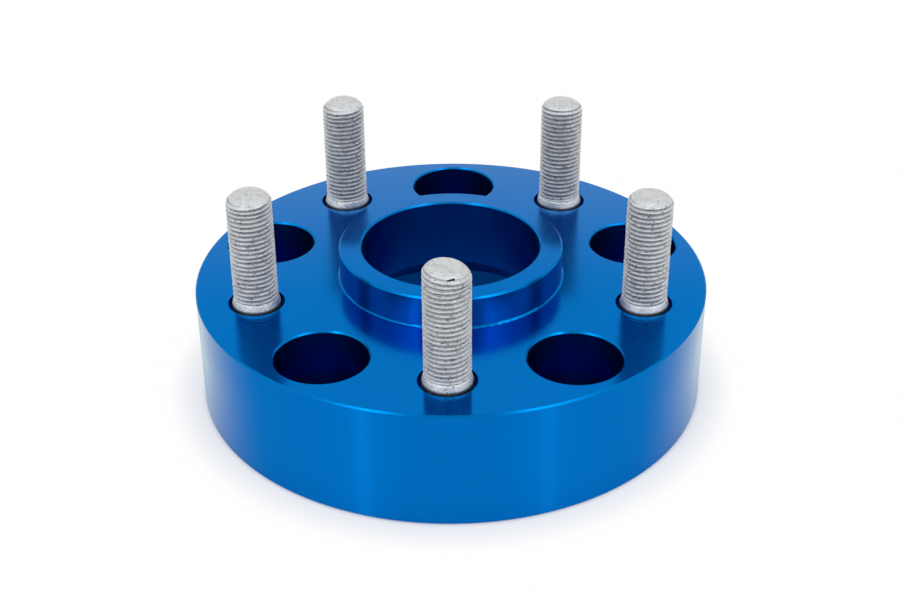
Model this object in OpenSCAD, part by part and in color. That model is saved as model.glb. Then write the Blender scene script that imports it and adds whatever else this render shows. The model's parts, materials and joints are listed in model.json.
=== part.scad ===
// Bolt-on, hub-centric wheel spacer: one turned and drilled ring with pressed-in wheel studs.
// The hub face lies on z = 0, the ring's axis is Z, and the studs point up +Z toward the wheel.

/* [Ring] */
// Outer diameter of the ring
ring_d = 163.5; // [158:0.5:180]
// Thickness between the hub face and the wheel face
ring_t = 38.1; // [34:0.1:50]
// Chamfer on the turned and drilled edges
edge_chamfer = 0.5; // [0.3:0.05:1]

/* [Pilots] */
// Diameter of the lip that centres the wheel
lip_d = 71.5; // [64:0.1:78]
// Height of the lip above the wheel face
lip_h = 10.5; // [6:0.5:14]
// Radius of the fillet where the lip meets the wheel face
lip_fillet = 0.6; // [0.4:0.1:1.2]
// Diameter of the centre bore
bore_d = 57; // [44:0.5:60]
// Diametral clearance of the hub recess over a pilot as large as the lip
pilot_clearance = 0.1; // [0.05:0.05:0.4]
// Depth of the hub recess from the hub face, up to the cone that closes it to the bore
recess_depth = 18.7; // [12:0.1:22]

/* [Bolt circle] */
// Diameter of the circle that carries the studs and the lug holes
bolt_circle_d = 127; // [120:0.5:130]
// Number of studs, and of the lug holes between them
lug_count = 5; // [4:1:6]

/* [Lug holes] */
// Diameter of the pocket that takes a lug nut and its socket
nut_pocket_d = 28.4; // [25:0.1:30]
// Thickness of the ring left behind the nut pocket
nut_web = 13; // [10:0.5:16]
// Wide diameter of the conical nut seat
nut_seat_d = 22; // [19:0.5:24]
// Included angle of the conical nut seat
nut_seat_angle = 60; // [60:5:90]
// Diameter of the hole for a stud of the hub
hub_hole_d = 15.5; // [14.5:0.1:17]

/* [Wheel studs] */
// Thread diameter of a stud
stud_d = 14; // [12:0.5:14.5]
// Reach of a stud beyond the wheel face
stud_reach = 38; // [25:0.5:50]
// Pitch of the thread
thread_pitch = 1.5; // [1:0.25:2]
// Depth of the thread
thread_depth = 0.85; // [0.5:0.05:1]
// Radius that rounds the end of a stud
tip_round = 4.9; // [3:0.1:5]
// Width by which the round would overhang the thread, so that it meets the shank in an edge
tip_edge = 0.4; // [0.2:0.1:0.8]
// Diameter over the knurl and the plain collar above it
knurl_d = 15.1; // [14.8:0.1:17]
// Depth of the knurl's teeth
knurl_depth = 0.4; // [0.2:0.05:0.5]
// Number of the knurl's teeth
knurl_teeth = 40; // [30:1:50]
// Share of the knurl's diameter that its crests keep
crest_share = 0.35; // [0.2:0.05:0.5]
// Height of the collar's upper edge above the wheel face
collar_proud = 0.4; // [0.2:0.1:1]
// Height of the shoulder that tapers from the collar to the thread
shoulder_h = 1.9; // [1:0.1:3]
// Thickness of the ring between a stud's head and the wheel face
stud_web = 14; // [10:0.5:18]
// Diameter of a stud's head
head_d = 22; // [20:0.5:23]
// Thickness of a stud's head
head_t = 4.5; // [3:0.5:6]
// Clearance around a stud's head in its pocket
head_clearance = 1; // [0.5:0.1:1.5]
// Gap around the collar where the wheel face is relieved
relief_gap = 1.3; // [0.6:0.1:1.6]
// Depth of the relief around the collar
relief_depth = 2.5; // [1:0.5:4]

/* [Hidden] */
$fn = 96;

// The first stud stands on the -Y side, and the lug holes lie halfway between the studs
first_angle = -90;
lug_step = 360 / lug_count;

ring_r = ring_d / 2;
lip_r = lip_d / 2;
lip_top = ring_t + lip_h;
bore_r = bore_d / 2;
recess_r = lip_r + pilot_clearance / 2;
// The cone above the recess stands at 45 degrees
recess_top = recess_depth + recess_r - bore_r;
hub_hole_r = hub_hole_d / 2;
nut_pocket_r = nut_pocket_d / 2;
nut_seat_r = nut_seat_d / 2;
nut_seat_h = (nut_seat_r - hub_hole_r) / tan(nut_seat_angle / 2);

stud_r = stud_d / 2;
stud_top = ring_t + stud_reach;
tip_flat_r = stud_r + tip_edge - tip_round;
knurl_r = knurl_d / 2;
knurl_top = ring_t - relief_depth;
collar_top = ring_t + collar_proud;
shank_foot = collar_top + shoulder_h;
head_top = ring_t - stud_web;
head_r = head_d / 2;
head_pocket_r = head_r + head_clearance;

// Cutters run this far past the faces that they open
overcut = 1;

function stud_name(i) = str("wheel_stud_", i);

// Half outline of the ring on the X side of its axis, from the hub face up
module ring_outline() {
    difference() {
        polygon([
            [recess_r + edge_chamfer, 0],
            [ring_r - edge_chamfer, 0],
            [ring_r, edge_chamfer],
            [ring_r, ring_t - edge_chamfer],
            [ring_r - edge_chamfer, ring_t],
            [lip_r + lip_fillet, ring_t],
            [lip_r, ring_t + lip_fillet],
            [lip_r, lip_top - edge_chamfer],
            [lip_r - edge_chamfer, lip_top],
            [bore_r + edge_chamfer, lip_top],
            [bore_r, lip_top - edge_chamfer],
            [bore_r, recess_top],
            [recess_r, recess_depth],
            [recess_r, edge_chamfer],
        ]);
        // The fillet curves inward from the straight line that joins its ends
        translate([lip_r + lip_fillet, ring_t + lip_fillet])
            circle(lip_fillet);
    }
}

// Half outline of everything that one lug hole takes away, around the hole's own axis
module lug_hole_outline() {
    polygon([
        [0, -overcut],
        [hub_hole_r + edge_chamfer + overcut, -overcut],
        [hub_hole_r, edge_chamfer],
        [hub_hole_r, nut_web - nut_seat_h],
        [nut_seat_r, nut_web],
        [nut_pocket_r, nut_web],
        [nut_pocket_r, ring_t - edge_chamfer],
        [nut_pocket_r + edge_chamfer + overcut, ring_t + overcut],
        [0, ring_t + overcut],
    ]);
}

// Half outline of everything that one stud hole takes away, around the stud's axis
module stud_hole_outline() {
    relief_r = knurl_r + relief_gap;
    polygon([
        [0, -overcut],
        [head_pocket_r + edge_chamfer + overcut, -overcut],
        [head_pocket_r, edge_chamfer],
        [head_pocket_r, head_top],
        [knurl_r, head_top],
        [knurl_r, knurl_top],
        [relief_r, knurl_top],
        [relief_r, ring_t + overcut],
        [0, ring_t + overcut],
    ]);
}

// Half outline of a whole stud: head, knurl and collar, shoulder, threaded shank and rounded end
module stud_outline() {
    polygon([
        [0, head_top - head_t],
        [head_r - edge_chamfer, head_top - head_t],
        [head_r, head_top - head_t + edge_chamfer],
        [head_r, head_top - edge_chamfer],
        [head_r - edge_chamfer, head_top],
        [knurl_r, head_top],
        [knurl_r, collar_top],
        [stud_r, shank_foot],
        [0, shank_foot],
    ]);
    difference() {
        intersection() {
            translate([0, shank_foot])
                square([stud_r, stud_top - shank_foot]);
            union() {
                square([tip_flat_r, stud_top]);
                square([tip_flat_r + tip_round, stud_top - tip_round]);
                translate([tip_flat_r, stud_top - tip_round])
                    circle(tip_round);
            }
        }
        thread_grooves();
    }
}

// Section of the thread's V grooves, which run round the stud as rings a pitch apart
module thread_grooves() {
    groove_w = 0.8 * thread_pitch;
    thread_end = stud_top - tip_round + sqrt(tip_edge * (2 * tip_round - tip_edge));
    for (z = [shank_foot + thread_pitch : thread_pitch : thread_end])
        translate([stud_r, z])
            polygon([
                [-thread_depth, 0],
                [0, -groove_w / 2],
                [overcut, -groove_w / 2],
                [overcut, groove_w / 2],
                [0, groove_w / 2],
            ]);
}

// Cross-section of the straight V grooves that leave the knurl's teeth standing
module knurl_grooves() {
    half_groove = (1 - crest_share) * 180 / knurl_teeth;
    edge = knurl_r * [cos(half_groove), sin(half_groove)];
    outer = edge * (1 + overcut / knurl_r);
    for (i = [0 : knurl_teeth - 1])
        rotate((i + 0.5) * 360 / knurl_teeth)
            polygon([
                [knurl_r - knurl_depth, 0],
                edge,
                outer,
                [outer.x, -outer.y],
                [edge.x, -edge.y],
            ]);
}

// Places its children at one angle on the bolt circle
module on_bolt_circle(angle) {
    rotate(first_angle + angle)
        translate([bolt_circle_d / 2, 0])
            children();
}

module spacer_body() {
    color([0.0, 0.44, 0.75])
        difference() {
            rotate_extrude()
                ring_outline();
            for (i = [0 : lug_count - 1]) {
                on_bolt_circle(i * lug_step)
                    rotate_extrude()
                        stud_hole_outline();
                on_bolt_circle((i + 0.5) * lug_step)
                    rotate_extrude()
                        lug_hole_outline();
            }
        }
}

module wheel_stud(i) {
    color([0.66, 0.66, 0.66])
        on_bolt_circle((i - 1) * lug_step)
            difference() {
                rotate_extrude()
                    stud_outline();
                translate([0, 0, head_top])
                    linear_extrude(knurl_top - head_top)
                        knurl_grooves();
            }
}

spacer_body();
for (i = [1 : lug_count]) {
    wheel_stud(i);
}
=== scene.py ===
"""Looks of the wheel spacer: a blue anodised ring with zinc coated studs, on a white studio floor."""
import json
import math
from types import SimpleNamespace

import bpy
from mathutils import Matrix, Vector


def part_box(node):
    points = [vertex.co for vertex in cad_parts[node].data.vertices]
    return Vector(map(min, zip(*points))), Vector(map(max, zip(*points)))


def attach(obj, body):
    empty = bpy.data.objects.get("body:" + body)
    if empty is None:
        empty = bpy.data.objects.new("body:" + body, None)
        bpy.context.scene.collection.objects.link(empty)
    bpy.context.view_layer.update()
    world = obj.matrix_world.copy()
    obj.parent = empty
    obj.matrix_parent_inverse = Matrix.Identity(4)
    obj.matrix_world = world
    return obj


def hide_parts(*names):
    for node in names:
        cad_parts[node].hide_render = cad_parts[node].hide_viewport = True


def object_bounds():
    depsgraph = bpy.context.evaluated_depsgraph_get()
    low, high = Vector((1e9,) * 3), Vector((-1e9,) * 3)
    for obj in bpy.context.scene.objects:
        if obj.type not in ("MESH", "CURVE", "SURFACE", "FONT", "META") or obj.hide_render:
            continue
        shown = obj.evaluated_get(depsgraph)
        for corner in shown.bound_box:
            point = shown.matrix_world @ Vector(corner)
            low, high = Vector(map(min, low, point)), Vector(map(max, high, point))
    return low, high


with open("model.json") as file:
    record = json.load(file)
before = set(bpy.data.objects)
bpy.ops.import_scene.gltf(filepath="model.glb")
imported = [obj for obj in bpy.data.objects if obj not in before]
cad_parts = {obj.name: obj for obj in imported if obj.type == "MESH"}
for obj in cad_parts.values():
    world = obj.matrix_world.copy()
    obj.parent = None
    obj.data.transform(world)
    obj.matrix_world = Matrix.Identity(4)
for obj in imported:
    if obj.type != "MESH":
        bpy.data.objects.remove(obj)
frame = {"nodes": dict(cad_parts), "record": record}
cad_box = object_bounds()

MM = 0.001
STUDS = [name for name in sorted(frame["nodes"]) if name.startswith("wheel_stud")]
MOUNTS = {mount["name"]: mount for mount in frame["record"]["mounts"]}
HOLES = len(STUDS) + MOUNTS["hub_stud_holes"]["dims"]["count"]

# Radii and heights of the object in millimetres, from the frame where it gives them
RING_R = (cad_box[1][0] - cad_box[0][0]) / 2 / MM
FACE_Z = MOUNTS["wheel_face"]["pos_m"][2] / MM
LIP_R = MOUNTS["wheel_pilot_lip"]["dims"]["r_mm"]
BORE_R = MOUNTS["centre_bore"]["dims"]["r_mm"]
BOLT_CIRCLE_R = MOUNTS["wheel_studs"]["dims"]["pcd_mm"] / 2
THREAD_R = MOUNTS["wheel_studs"]["dims"]["stud_r_mm"]
POCKET_R = 14.2
RELIEF_R = 8.85
CONE_FOOT = 18.7
COLLAR_TOP = FACE_Z + 0.4
KNURL_TOP = FACE_Z - 2.5
STUD_TOP = FACE_Z + 38


class Wire:
    """The output of a node. Python's operators on wires add Math nodes."""

    def __init__(self, graph, socket):
        self.graph = graph
        self.socket = socket

    def out(self, name):
        """Another output of the same node."""
        return Wire(self.graph, self.socket.node.outputs[name])

    def math(self, operation, *others):
        return self.graph.math(operation, self, *others)

    def within(self, low, high):
        return self.math("MAXIMUM", low).math("MINIMUM", high)

    def ramp(self, start, end):
        """0 at start and before it, 1 at end and past it, and a smooth rise between them."""
        span = {"Value": self, "From Min": start, "From Max": end}
        return self.graph.node("ShaderNodeMapRange", {"interpolation_type": "SMOOTHSTEP"}, span)

    def __add__(self, other):
        return self.graph.math("ADD", self, other)

    def __radd__(self, other):
        return self.graph.math("ADD", other, self)

    def __sub__(self, other):
        return self.graph.math("SUBTRACT", self, other)

    def __rsub__(self, other):
        return self.graph.math("SUBTRACT", other, self)

    def __mul__(self, other):
        return self.graph.math("MULTIPLY", self, other)

    def __rmul__(self, other):
        return self.graph.math("MULTIPLY", other, self)

    def __truediv__(self, other):
        return self.graph.math("DIVIDE", self, other)

    def __rtruediv__(self, other):
        return self.graph.math("DIVIDE", other, self)


class Graph:
    """A node tree written from Python."""

    def __init__(self, tree):
        self.tree = tree

    def node(self, kind, settings=None, sockets=None, output=0):
        """Adds a node, makes its settings first, fills its sockets, and gives one of its outputs."""
        made = self.tree.nodes.new(kind)
        for name, value in (settings or {}).items():
            setattr(made, name, value)
        for key, value in (sockets or {}).items():
            if isinstance(value, Wire):
                self.tree.links.new(value.socket, made.inputs[key])
            else:
                made.inputs[key].default_value = value
        return Wire(self, made.outputs[output]) if len(made.outputs) else None

    def math(self, operation, *values):
        return self.node("ShaderNodeMath", {"operation": operation}, dict(enumerate(values)))

    def vector_math(self, operation, *values):
        return self.node("ShaderNodeVectorMath", {"operation": operation}, dict(enumerate(values)))

    def vector(self, x, y, z):
        return self.node("ShaderNodeCombineXYZ", None, {"X": x, "Y": y, "Z": z})

    def split(self, vector):
        """The x, y and z of a vector."""
        parts = self.node("ShaderNodeSeparateXYZ", None, {"Vector": vector})
        return parts.out("X"), parts.out("Y"), parts.out("Z")

    def mix(self, factor, a, b):
        """One colour turning into another as the factor goes from 0 to 1."""
        sockets = {0: factor, 6: a, 7: b}
        return self.node("ShaderNodeMix", {"data_type": "RGBA"}, sockets, 2)

    def noise(self, scale, detail, roughness, **place):
        """Noise from 0 to 1 at a place given as Vector, W or both."""
        kinds = {("Vector",): "3D", ("W",): "1D", ("Vector", "W"): "4D"}
        settings = {"noise_dimensions": kinds[tuple(sorted(place))], "normalize": True}
        sockets = {"Scale": scale, "Detail": detail, "Roughness": roughness, **place}
        return self.node("ShaderNodeTexNoise", settings, sockets)

    def low_angle(self):
        """0 where a surface faces the eye, up to 1 where it is seen edge on."""
        return self.node("ShaderNodeLayerWeight", None, {"Blend": 0.5}).out("Facing")

    def bump(self, height, strength, distance):
        return self.node("ShaderNodeBump", None, {
            "Strength": strength, "Distance": distance, "Height": height})

    def mix_shader(self, factor, a, b):
        return self.node("ShaderNodeMixShader", None, {0: factor, 1: a, 2: b})


def new_material(name):
    """An empty node material, and the graph that writes its nodes."""
    material = bpy.data.materials.new(name)
    material.use_nodes = True
    material.node_tree.nodes.clear()
    return material, Graph(material.node_tree)


def finish_surface(graph, shader):
    """Joins a shader to the material's output."""
    graph.node("ShaderNodeOutputMaterial", None, {"Surface": shader})


def add_object(name, data):
    """A new object in the scene."""
    made = bpy.data.objects.new(name, data)
    bpy.context.scene.collection.objects.link(made)
    return made


# Camera, fitted to the photo
camera = add_object("camera", bpy.data.cameras.new("camera"))
camera.data.sensor_width = 36
camera.data.lens = 59.71
camera.data.clip_start = 0.01
camera.location = Vector((7.57, -420.60, 274.77)) * MM
camera.rotation_euler = [math.radians(angle) for angle in (59.535, 0.3574, 0.865)]
bpy.context.scene.camera = camera


# Blue anodising of the body, with blues for its painted shade, painted light and painted sheen
BLUE = {
    "dark": (0.0, 0.158, 0.478, 1),
    "light": (0.0, 0.175, 0.530, 1),
    "rim": (0.0, 0.158, 0.545, 1),
    "lip": (0.0, 0.115, 0.35, 1),
    "bore": (0.0, 0.09, 0.62, 1),
    "upper wall": (0.0, 0.19, 0.75, 1),
    "deep": (0.0, 0.03, 0.2, 1),
    "relief": (0.0, 0.03, 0.08, 1),
    "flat sheen": (0.56, 0.60, 0.66, 1),
    "rim sheen": (0.73, 0.74, 0.74, 1),
    "edge tint": (0.55, 0.72, 0.88, 1),
    "dye": (0.0, 0.01, 0.9, 1),
}

# Heights in millimetres over which the painted light and shade on the walls of the holes and the painted
# sheen of the rim change
UPPER_WALL = (20, 32)
LOWER_WALL = (32, 18)
RIM_SHEEN = (4, 26)


def body_masks(graph, in_mm, normal):
    """Masks of the kinds of surface on the body, 1 on each and 0 off it, with height and tool path."""
    x, y, z = graph.split(in_mm)
    upright = graph.split(normal)[2]
    reach = (x * x + y * y).math("SQRT")
    level = upright.math("ABSOLUTE")
    on = SimpleNamespace(z=z)
    on.wall = level.ramp(0.5, 0.1)
    on.flat = level.ramp(0.8, 0.95)
    on.bevel = level.ramp(0.3, 0.5) * (1 - on.flat) * upright.ramp(-0.1, 0.1)
    on.rim = on.wall * reach.ramp(RING_R - 3.25, RING_R - 1.25)

    # Distance from the nearest stud or lug hole, all of which lie at even steps of one circle
    step = 2 * math.pi / HOLES
    turn = (y.math("ARCTAN2", x) + math.pi / 2).math("WRAP", step / 2, -step / 2)
    across = reach * turn.math("COSINE") - BOLT_CIRCLE_R
    along = reach * turn.math("SINE")
    from_hole = (across * across + along * along).math("SQRT")
    between_faces = z.ramp(0.1, 0.6) * z.ramp(FACE_Z - 0.2, FACE_Z - 0.8)
    on.hole = from_hole.ramp(POCKET_R + 0.15, POCKET_R + 0.05) * between_faces
    on.relief = on.hole * from_hole.ramp(RELIEF_R + 0.35, RELIEF_R + 0.15)

    on.lip_side = on.wall * (1 - on.rim) * reach.ramp(LIP_R - 2.75, LIP_R - 0.75) * (1 - on.hole)
    on.bore_side = on.wall * reach.ramp(BORE_R + 2.5, BORE_R + 0.5)
    cone_height = z.ramp(CONE_FOOT - 3.7, CONE_FOOT - 0.7)
    on.cone = upright.ramp(-0.4, -0.6) * cone_height * reach.ramp(BOLT_CIRCLE_R - 13.5, LIP_R + 4.25)

    # Distance along the tool's path, outward on the ends and up the walls, from the axis or a hole's own
    on.cut = (reach + z) * (1 - on.hole) + (from_hole + z) * on.hole
    return on


def blue_colour(graph, on, broad, cloud):
    """Blue with painted shade on walls that see mostly other walls, painted light high in the holes, and a
    painted sheen that pales the flats and rim at a low angle.
    """
    low_angle = graph.low_angle()
    shade = (broad - 0.5) * 0.25 + (cloud - 0.5) * 0.5 + 0.5
    colour = graph.mix(shade.within(0, 1), BLUE["dark"], BLUE["light"])
    colour = graph.mix(on.rim * 0.8, colour, BLUE["rim"])
    # Painted shade: the lip and bore walls are coloured deeper blue, as they mirror other blue walls
    colour = graph.mix(on.lip_side * 0.4, colour, BLUE["lip"])
    colour = graph.mix(on.bore_side * 0.4, colour, BLUE["bore"])
    # Painted light on the upper walls of the holes, where light falls in from above
    colour = graph.mix(on.hole * on.z.ramp(*UPPER_WALL) * 0.35, colour, BLUE["upper wall"])
    # Painted shade under the bore's cone, low in the holes, in the reliefs round the studs, and on the
    # lip's sides at a low angle
    deep = on.cone * 0.45 + on.hole * 0.3 * on.z.ramp(*LOWER_WALL) + on.relief * 0.5
    deep = deep + on.lip_side * low_angle.ramp(0.45, 0.85) * 0.35
    colour = graph.mix(deep, colour, BLUE["deep"])
    # Painted shade, darker still, in the reliefs round the studs
    colour = graph.mix(on.relief * 0.7, colour, BLUE["relief"])
    # Painted sheen: paler flats and rim at a low angle, with less of the rim's sheen near the floor
    flat_sheen = low_angle.ramp(0.49, 0.87) * on.flat
    rim_sheen = ((low_angle - 0.47) / 0.4).within(0, 1).math("POWER", 2.3) * on.rim
    rim_sheen = rim_sheen * (0.65 + 0.35 * on.z.ramp(*RIM_SHEEN))
    colour = graph.mix(flat_sheen, colour, BLUE["flat sheen"])
    return graph.mix(rim_sheen, colour, BLUE["rim sheen"])


def blue_anodising():
    """Blue anodising over turned aluminium: smoother on the faced ends, coarser on the turned rim."""
    material, graph = new_material("blue anodising")
    texture = graph.node("ShaderNodeTexCoord")
    in_mm = graph.vector_math("MULTIPLY", texture.out("Object"), (1 / MM, 1 / MM, 1 / MM))
    on = body_masks(graph, in_mm, texture.out("Normal"))
    fine = graph.noise(scale=7.0, detail=2.0, roughness=0.6, W=on.cut)
    broad = graph.noise(scale=0.9, detail=2.0, roughness=0.5, W=on.cut)
    cloud = graph.noise(scale=0.06, detail=3.0, roughness=0.55, Vector=in_mm)
    handled = graph.noise(scale=0.35, detail=4.0, roughness=0.6, Vector=in_mm)

    # Turning lines show on the flat faces and on the rim
    lined = on.flat + on.rim
    lines = (fine * 0.03 + broad * 0.02) * lined
    uneven = (fine - 0.5) * 0.04 + (broad - 0.5) * 0.04
    uneven = uneven * lined + (handled - 0.5) * 0.03
    shared = {
        "Base Color": blue_colour(graph, on, broad, cloud),
        "Metallic": 1.0,
        "Specular Tint": BLUE["edge tint"],
        "Anisotropic Rotation": 0.25,
        "Normal": graph.bump(lines, strength=1.0, distance=0.1 * MM),
    }
    faced_rough = uneven + 0.155 + on.wall * 0.11 - on.hole * 0.05 + on.bevel * 0.12
    faced = graph.node("ShaderNodeBsdfPrincipled", None, {
        **shared, "Roughness": faced_rough, "Anisotropic": 0.6})
    turned = graph.node("ShaderNodeBsdfPrincipled", None, {
        **shared, "Roughness": uneven + 0.27, "Anisotropic": 1.0})

    # A little dye on the flat faces keeps them blue where they mirror something dark
    dye = graph.node("ShaderNodeBsdfDiffuse", None, {"Color": BLUE["dye"]})
    faced = graph.mix_shader(on.flat * 0.065, faced, dye)
    finish_surface(graph, graph.mix_shader(on.rim, faced, turned))
    return material


# Zinc coating of the studs, with greys for its painted sheen, highlight and shade
ZINC = {
    "dark": (0.63, 0.65, 0.672, 1),
    "light": (0.75, 0.77, 0.787, 1),
    "pale edge": (0.88, 0.90, 0.92, 1),
    "worn": (0.81, 0.825, 0.84, 1),
    "shoulder": (0.86, 0.865, 0.87, 1),
    "grain": (0.36, 0.365, 0.37, 1),
    "groove": (0.085, 0.093, 0.106, 1),
    "smudge": (0.46, 0.46, 0.455, 1),
    "fleck": (0.03, 0.045, 0.065, 1),
    "scraped": (0.055, 0.11, 0.18, 1),
    "scratch": (0.01, 0.01, 0.012, 1),
}

# Ends of the scratch on the front stud, and how far from its line it fades and is full, in millimetres
SCRATCH_START = Vector((0.2, -69.8, 74.3))
SCRATCH_END = Vector((2.1, -69.1, 74.42))
SCRATCH_EDGE = (0.44, 0.28)


def tip_scratch(graph, in_mm):
    """1 along a short dark scratch that widens to its end, and 0 away from it."""
    run = SCRATCH_END - SCRATCH_START
    past = graph.vector_math("SUBTRACT", in_mm, tuple(SCRATCH_START))
    share = graph.vector_math("DOT_PRODUCT", past, tuple(run)).out("Value") / run.length_squared
    share = share.within(0, 1)
    on_line = graph.node("ShaderNodeVectorMath", {"operation": "SCALE"}, {0: tuple(run), "Scale": share})
    gap = graph.vector_math("DISTANCE", past, on_line).out("Value")
    return (gap / (0.5 + 0.5 * share)).ramp(*SCRATCH_EDGE)


def zinc_coating():
    """Grey zinc flake coating: satin, blotchy and flecked, with painted shade in the grooves of the thread
    and round the collar, a painted sheen at its edges and a painted highlight on the shoulder.
    """
    material, graph = new_material("zinc coating")
    place = graph.node("ShaderNodeTexCoord").out("Object")
    in_mm = graph.vector_math("MULTIPLY", place, (1 / MM, 1 / MM, 1 / MM))
    groove = graph.node("ShaderNodeAttribute", {"attribute_name": "groove"}).out("Fac")
    worn = graph.node("ShaderNodeAttribute", {"attribute_name": "tip"}).out("Fac")
    low_angle = graph.low_angle()

    blotch = graph.noise(scale=0.35, detail=3.0, roughness=0.55, Vector=in_mm)
    grain = graph.noise(scale=3.0, detail=3.0, roughness=0.7, Vector=in_mm)
    squeezed = graph.vector_math("MULTIPLY", in_mm, (1, 1, 1.7))
    flecks = graph.noise(scale=1.2, detail=4.0, roughness=0.7, Vector=squeezed)
    flecked = flecks.ramp(0.575, 0.615) * blotch.ramp(0.64, 0.44) * (1 - worn * 0.6)
    smudge = graph.noise(scale=0.8, detail=3.0, roughness=0.6, Vector=in_mm).ramp(0.55, 0.40) * worn

    # Brighter up to the top of the shoulder as a painted highlight, and painted shade dark around the
    # collar, with ragged limits
    height = graph.split(in_mm)[2] + (grain - 0.5) * 0.9
    near_collar = height.ramp(KNURL_TOP - 3.6, KNURL_TOP - 1.6)
    scraped = height.ramp(COLLAR_TOP + 0.25, COLLAR_TOP - 0.35) * near_collar
    shoulder = height.ramp(COLLAR_TOP + 2.1, COLLAR_TOP + 1.7)
    # Painted shade in the grooves of the thread, deeper at a low angle
    shadow = groove.math("POWER", 2.0) * (0.58 + 0.38 * low_angle.ramp(0.35, 0.85))

    colour = graph.mix(blotch.ramp(0.25, 0.75), ZINC["dark"], ZINC["light"])
    # Painted sheen: paler crests at a low angle, away from the grooves
    colour = graph.mix(low_angle.ramp(0.55, 0.95) * (1 - groove) * 0.45, colour, ZINC["pale edge"])
    colour = graph.mix(worn * 0.5, colour, ZINC["worn"])
    # Painted highlight on the shoulder, which is also really smoother and more metallic
    colour = graph.mix(shoulder * 0.7, colour, ZINC["shoulder"])
    colour = graph.mix(grain.ramp(0.62, 0.35) * 0.35, colour, ZINC["grain"])
    colour = graph.mix(shadow, colour, ZINC["groove"])
    colour = graph.mix(smudge * 0.34, colour, ZINC["smudge"])
    colour = graph.mix(flecked * 0.85, colour, ZINC["fleck"])
    # Painted shade around the collar, where it sits in the relief
    colour = graph.mix(scraped * 0.8, colour, ZINC["scraped"])
    colour = graph.mix(tip_scratch(graph, in_mm), colour, ZINC["scratch"])

    rough = 0.47 + (grain - 0.5) * 0.2 + (blotch - 0.5) * 0.12 - worn * 0.1 - shoulder * 0.1
    pitted = grain * 0.6 + blotch * 0.4 - flecked * 0.5
    finish_surface(graph, graph.node("ShaderNodeBsdfPrincipled", None, {
        "Base Color": colour,
        "Metallic": 0.7 + shoulder * 0.2,
        "Roughness": rough,
        "Normal": graph.bump(pitted, strength=0.6, distance=0.3 * MM),
    }))
    return material


# Wheel studs: sizes that are inputs of their geometry nodes, where each stud may have its own
STUD_SIZES = {
    "Head radius": 11 * MM,
    "Head thickness": 4.5 * MM,
    "Bevel": 0.5 * MM,
    "Knurl radius": 7.55 * MM,
    "Knurl depth": 0.4 * MM,
    "Knurl top": KNURL_TOP * MM,
    "Collar top": COLLAR_TOP * MM,
    "Shoulder height": 1.9 * MM,
    "Neck depth": 0.3 * MM,
    "Thread radius": THREAD_R * MM,
    "Thread depth": 0.85 * MM,
    "Thread pitch": 1.5 * MM,
    "Thread run-out": 1.5 * MM,
    "Tip round": 4.9 * MM,
    "Tip flat": 2.5 * MM,
    "Chips": 0.15 * MM,
    "Tip cut": 0.15 * MM,
    "Tip lean": 0.03,
    "Lean heading": 0.0,
    "Dents": 0.25 * MM,
    "Thread start": 0.0,
    "Foot": 19.6 * MM,
    "Top": STUD_TOP * MM,
    "Heading": 0.0,
    "Seed": 0.0,
}

# Teeth of the knurl, and the share of a tooth's width that its crest keeps
KNURL_TEETH = 40
CREST_SHARE = 0.35

# Shares of half a pitch that the flat root of the thread and its flank take, the rest being crest
ROOT_SHARE = 0.12
FLANK_SHARE = 0.66

# Heights above the foot of the shank: the fine line at the neck, and where the thread begins to show
NECK_H = 0.25 * MM
RUN_OUT_START = 0.3 * MM

# Depths below the top, as shares of the tip's round, between which the wear and the lean come in
WEAR_DEPTHS = (0.75, 0.1)
LEAN_DEPTHS = (1.2, 0.5)

# Rounding of the sheared edge, the height on the shank over which chips come in, and their own seed
SHEAR_ROUND = 0.6 * MM
CHIP_START = 0.5 * MM
CHIP_SEED = 7

# Points closer than this are merged, and edges that turn more than this stay sharp
MERGE_GAP = 0.004 * MM
CREASE_ANGLE = math.radians(40)

# Angle at which the tip's round meets the root of the thread, and the shank between that and its foot
ROOT_R = STUD_SIZES["Thread radius"] - STUD_SIZES["Thread depth"]
TIP_START = math.acos((ROOT_R - STUD_SIZES["Tip flat"]) / STUD_SIZES["Tip round"])
SHANK_FOOT = STUD_SIZES["Collar top"] + STUD_SIZES["Shoulder height"]
TIP_CENTRE = STUD_SIZES["Top"] - STUD_SIZES["Tip round"]
SHANK_LENGTH = TIP_CENTRE + STUD_SIZES["Tip round"] * math.sin(TIP_START) - SHANK_FOOT

# The grid has this many columns, and these rows for each stretch of the outline, from foot to tip
COLUMNS = 200
ROWS_A_TURN = 12
STRETCHES = {
    "foot": 3,
    "low bevel": 1,
    "side": 1,
    "high bevel": 1,
    "seat": 2,
    "knurl": 2,
    "knurl end": 1,
    "collar": 2,
    "shoulder": 4,
    "shank": math.ceil((SHANK_LENGTH / STUD_SIZES["Thread pitch"] + 1) * ROWS_A_TURN),
    "dome": 10,
    "end": 6,
}
ROWS = sum(STRETCHES.values())


def stud_surface(graph, grid, place, marks, finish):
    """The grid moved into place, with marks for its coating, merged seams and sharp edges."""
    mesh = grid
    for name, mark in marks.items():
        mesh = graph.node("GeometryNodeStoreNamedAttribute", {"data_type": "FLOAT"}, {
            "Geometry": mesh, "Name": name, "Value": mark})
    mesh = graph.node("GeometryNodeSetPosition", None, {"Geometry": mesh, "Position": place})
    mesh = graph.node("GeometryNodeMergeByDistance", None, {"Geometry": mesh, "Distance": MERGE_GAP})
    mesh = graph.node("GeometryNodeSetShadeSmooth", None, {"Geometry": mesh, "Shade Smooth": True})
    crease = graph.node("GeometryNodeInputMeshEdgeAngle").math("GREATER_THAN", CREASE_ANGLE)
    mesh = graph.node("GeometryNodeSetShadeSmooth", {"domain": "EDGE"}, {
        "Geometry": mesh, "Selection": crease, "Shade Smooth": False})
    mesh = graph.node("GeometryNodeRealizeInstances", None, {"Geometry": mesh})
    return graph.node("GeometryNodeSetMaterial", None, {"Geometry": mesh, "Material": finish})


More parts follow.
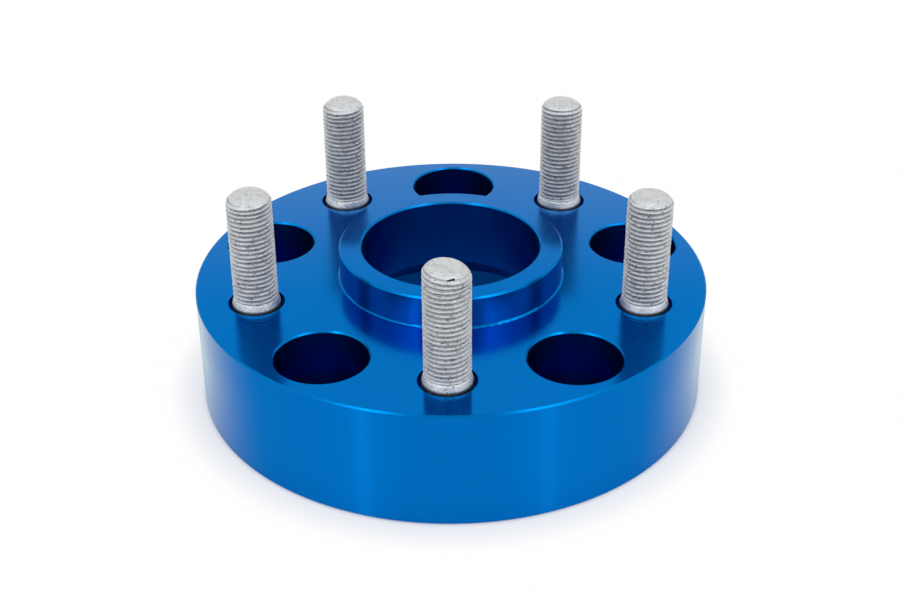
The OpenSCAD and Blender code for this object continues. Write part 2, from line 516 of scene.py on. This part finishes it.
def stud_tree(finish):
    """Geometry nodes of a stud: a grid wrapped round its outline, with rows that climb with the thread."""
    tree = bpy.data.node_groups.new("wheel stud", "GeometryNodeTree")
    graph = Graph(tree)
    tree.interface.new_socket(name="Geometry", in_out="OUTPUT", socket_type="NodeSocketGeometry")
    for name, value in STUD_SIZES.items():
        socket = tree.interface.new_socket(name=name, in_out="INPUT", socket_type="NodeSocketFloat")
        socket.default_value = value
    tree.interface.new_socket(name="Axis", in_out="INPUT", socket_type="NodeSocketVector")
    size = graph.node("NodeGroupInput").out

    grid = graph.node("GeometryNodeMeshGrid", None, {
        "Size X": 1.0, "Size Y": float(ROWS), "Vertices X": COLUMNS + 1, "Vertices Y": ROWS + 1})
    grid_x, grid_y, _ = graph.split(graph.node("GeometryNodeInputPosition"))
    around = grid_x + 0.5
    row = grid_y + ROWS / 2

    # How far along each stretch a row lies, from 0 to 1
    part = {}
    first_row = {}
    done = 0
    for name, count in STRETCHES.items():
        first_row[name] = done
        part[name] = ((row - done) / count).within(0, 1)
        done += count

    head_r = size("Head radius")
    head_t = size("Head thickness")
    bevel = size("Bevel")
    knurl_r = size("Knurl radius")
    knurl_top = size("Knurl top")
    thread_r = size("Thread radius")
    pitch = size("Thread pitch")
    tip_r = size("Tip round")
    tip_flat = size("Tip flat")
    foot = size("Foot")
    top = size("Top")

    # Head, knurl, collar and shoulder
    radius = (head_r - bevel) * part["foot"] + bevel * (part["low bevel"] - part["high bevel"])
    radius = radius - (head_r - bevel - knurl_r) * part["seat"] - (knurl_r - thread_r) * part["shoulder"]
    height = foot + bevel * (part["low bevel"] + part["high bevel"]) + (head_t - bevel * 2) * part["side"]
    height = height + (knurl_top - foot - head_t) * part["knurl"]
    height = height + (size("Collar top") - knurl_top) * part["collar"]
    height = height + size("Shoulder height") * part["shoulder"]

    # Teeth of the knurl, which start at the head and end in a step under the collar
    tooth = (around * KNURL_TEETH + 0.5).math("FRACT") - 0.5
    notch = (1 - (0.5 - tooth.math("ABSOLUTE")) / ((1 - CREST_SHARE) / 2)).within(0, 1)
    cut_in = part["seat"] * (1 - part["knurl end"])
    radius = radius - size("Knurl depth") * notch * cut_in

    # Shank: each row keeps to one place of the thread's profile as it climbs round the stud
    climb = (pitch * ((row - first_row["shank"]) / ROWS_A_TURN + around - 1)).within(0, SHANK_LENGTH)
    phase = climb / pitch - around + size("Thread start")
    slope = ((phase - phase.math("FLOOR")) * 2 - 1).math("ABSOLUTE")
    valley = (1 - (slope - ROOT_SHARE) / FLANK_SHARE).within(0, 1)
    fade = climb.ramp(RUN_OUT_START, size("Thread run-out"))
    groove = valley * fade * (1 - (part["dome"] * STRETCHES["dome"]).within(0, 1))
    neck = (1 - (climb / NECK_H - 1).math("ABSOLUTE")).within(0, 1)
    blank_z = (climb + SHANK_FOOT - top + tip_r).math("MAXIMUM", 0)
    blank = tip_flat + (tip_r * tip_r - blank_z * blank_z).math("SQRT")
    shank = blank.math("MINIMUM", thread_r - size("Thread depth") * groove - size("Neck depth") * neck)
    radius = radius + shank - thread_r

    # Rounded end
    swing = part["dome"] * (math.pi / 2 - TIP_START) + TIP_START
    radius = radius - tip_r * (math.cos(TIP_START) - swing.math("COSINE")) - tip_flat * part["end"]
    height = height + climb + tip_r * (swing.math("SINE") - math.sin(TIP_START))

    # The sheared end: a leaning, dented cut that takes metal off the round
    angle = around * (2 * math.pi)
    worn = height.ramp(top - tip_r * WEAR_DEPTHS[0], top - tip_r * WEAR_DEPTHS[1])
    leaning = height.ramp(top - tip_r * LEAN_DEPTHS[0], top - tip_r * LEAN_DEPTHS[1])
    before = graph.vector(radius * angle.math("COSINE"), radius * angle.math("SINE"), height)
    tilt = (angle - size("Lean heading")).math("COSINE") * radius * size("Tip lean")
    dent = graph.noise(scale=420.0, detail=2.0, roughness=0.5, Vector=before, W=size("Seed"))
    sheared = top - size("Tip cut") - tilt - size("Dents") * dent.ramp(0.4, 0.8)
    height = height - tilt * leaning
    height = height.math("SMOOTH_MIN", sheared, SHEAR_ROUND).math("MINIMUM", top)

    # Chips in the crests of the thread and in the edge of the tip
    seed = size("Seed") + CHIP_SEED
    chip = graph.noise(scale=1100.0, detail=2.0, roughness=0.6, Vector=before, W=seed)
    chipped = height.ramp(SHANK_FOOT, SHANK_FOOT + CHIP_START) * (1 - worn * 0.7)
    radius = radius - size("Chips") * chip.ramp(0.42, 0.72) * chipped

    turned = angle + size("Heading")
    place = graph.vector(radius * turned.math("COSINE"), radius * turned.math("SINE"), height)
    place = graph.vector_math("ADD", place, size("Axis"))
    marks = {"groove": groove.math("MAXIMUM", neck), "tip": worn}
    graph.node("NodeGroupOutput", None, {"Geometry": stud_surface(graph, grid, place, marks, finish)})
    return tree


def make_stud(node, tree, sizes):
    """One wheel stud as a plain mesh in the place of its solid."""
    low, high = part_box(node)
    axis = (low + high) / 2
    own = {
        **STUD_SIZES,
        **sizes,
        "Foot": low.z,
        "Top": high.z,
        "Heading": math.atan2(axis.y, axis.x),
        "Axis": (axis.x, axis.y, 0),
    }
    piece = add_object(node + "_coated", bpy.data.meshes.new(node + "_coated"))
    modifier = piece.modifiers.new("stud", "NODES")
    modifier.node_group = tree
    for item in tree.interface.items_tree:
        if item.in_out == "INPUT":
            modifier[item.identifier] = own[item.name]
    evaluated = piece.evaluated_get(bpy.context.evaluated_depsgraph_get())
    piece.data = bpy.data.meshes.new_from_object(evaluated)
    piece.modifiers.clear()
    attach(piece, "root")
    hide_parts(node)


# What differs from stud to stud: where the thread starts, and how its end was sheared
TIPS = {
    "wheel_stud_1": {"Thread start": 0.83, "Tip cut": 0.25 * MM, "Tip lean": 0.11, "Lean heading": 1.5},
    "wheel_stud_2": {"Thread start": 0.3, "Tip cut": 0.7 * MM, "Tip lean": 0.02, "Lean heading": 0.5},
    "wheel_stud_3": {"Thread start": 0.6, "Tip cut": 0.0},
    "wheel_stud_4": {"Thread start": 0.1, "Tip cut": 0.1 * MM, "Lean heading": 2.0},
    "wheel_stud_5": {"Thread start": 0.8, "Tip cut": 0.2 * MM, "Tip lean": 0.05, "Lean heading": 1.0},
}
coated_stud = stud_tree(zinc_coating())
for seed, name in enumerate(STUDS):
    make_stud(name, coated_stud, {**TIPS[name], "Seed": float(seed)})

# The body is the solid itself in its finish
body = frame["nodes"]["spacer_body"]
body.data.materials.clear()
body.data.materials.append(blue_anodising())


# Studio around the object
FLOOR_HALF = 3.0
LAMP_AIM = Vector((0, 0, 0.03))
LAMP_AWAY = 0.75


def seen_directly(graph):
    """1 for what the camera sees itself, mirrored in metal or through glass, and 0 for other light."""
    path = graph.node("ShaderNodeLightPath")
    return path.math("MAXIMUM", path.out("Is Glossy Ray")).math("MAXIMUM", path.out("Is Transmission Ray"))


def studio_floor():
    """White floor that keeps the object's shadow and looks white to the camera and to bright metal, with a
    painted shadow round the ring and painted blue bounce in its bluish paper.
    """
    material, graph = new_material("white floor")
    place = graph.node("ShaderNodeTexCoord").out("Object")
    away = graph.vector_math("LENGTH", place).out("Value")
    ring = RING_R * MM
    # Painted shadow: the glow is left out under the ring and dimmed near it, so the floor is darker close
    # to the object
    glow_beyond_painted_shadow = away.ramp(ring * 0.98, ring * 1.02) * (0.62 + 0.37 * away.ramp(ring, ring * 1.17))
    # The paper's bluish colour is painted blue light bounced from the ring into its shadow
    paper = graph.node("ShaderNodeBsdfDiffuse", None, {"Color": (0.81, 0.86, 0.96, 1)})
    glow = graph.node("ShaderNodeEmission", None, {"Color": (1, 1, 1, 1), "Strength": 1.0})
    finish_surface(graph, graph.mix_shader(seen_directly(graph) * glow_beyond_painted_shadow, paper, glow))
    corners = [(x * FLOOR_HALF, y * FLOOR_HALF, 0) for x, y in ((-1, -1), (1, -1), (1, 1), (-1, 1))]
    mesh = bpy.data.meshes.new("floor")
    mesh.from_pydata(corners, [], [(0, 1, 2, 3)])
    mesh.materials.append(material)
    add_object("floor", mesh)


def soft_box(name, azimuth, rise, width, tall, energy):
    """A lamp that looks at the object, placed by its angle from the camera's side and its rise."""
    light = bpy.data.lights.new(name, "AREA")
    light.shape = "RECTANGLE"
    light.size = width
    light.size_y = tall
    light.energy = energy
    lamp = add_object(name, light)
    azimuth, rise = math.radians(azimuth), math.radians(rise)
    way = Vector((math.sin(azimuth) * math.cos(rise), -math.cos(azimuth) * math.cos(rise), math.sin(rise)))
    lamp.location = LAMP_AIM + way * LAMP_AWAY
    lamp.rotation_euler = way.to_track_quat("Z", "Y").to_euler()


def studio_light():
    """Soft white surround, dimmer behind the camera, with a screen, a lamp and a low strip on each side."""
    world = bpy.data.worlds.new("studio")
    bpy.context.scene.world = world
    world.use_nodes = True
    world.node_tree.nodes.clear()
    graph = Graph(world.node_tree)
    x, y, z = graph.split(graph.node("ShaderNodeTexCoord").out("Generated"))
    azimuth = x.math("ARCTAN2", 0 - y) * math.degrees(1)
    high = z.ramp(0.3, 0.75) * z.ramp(0.99, 0.88)
    left_screen = azimuth.ramp(-66, -43) * azimuth.ramp(-24, -41)
    right_screen = azimuth.ramp(28, 46) * azimuth.ramp(76, 54)
    front = azimuth.math("ABSOLUTE").ramp(50, 20)
    even = (0.6 + 0.4 * seen_directly(graph)) * (1 - 0.25 * front)
    strength = even + high * (left_screen * 2.0 + right_screen * 1.7)
    surround = graph.node("ShaderNodeBackground", None, {"Color": (1, 1, 1, 1), "Strength": strength})
    graph.node("ShaderNodeOutputWorld", None, {"Surface": surround})
    soft_box("left lamp", azimuth=-41, rise=53, width=0.06, tall=0.08, energy=0.08)
    soft_box("left strip", azimuth=-33.5, rise=14, width=0.025, tall=0.3, energy=0.32)
    soft_box("right lamp", azimuth=44, rise=53, width=0.06, tall=0.08, energy=0.08)
    soft_box("right strip", azimuth=38.5, rise=14, width=0.025, tall=0.3, energy=0.25)


studio_floor()
studio_light()
bpy.context.scene.view_settings.view_transform = "Standard"
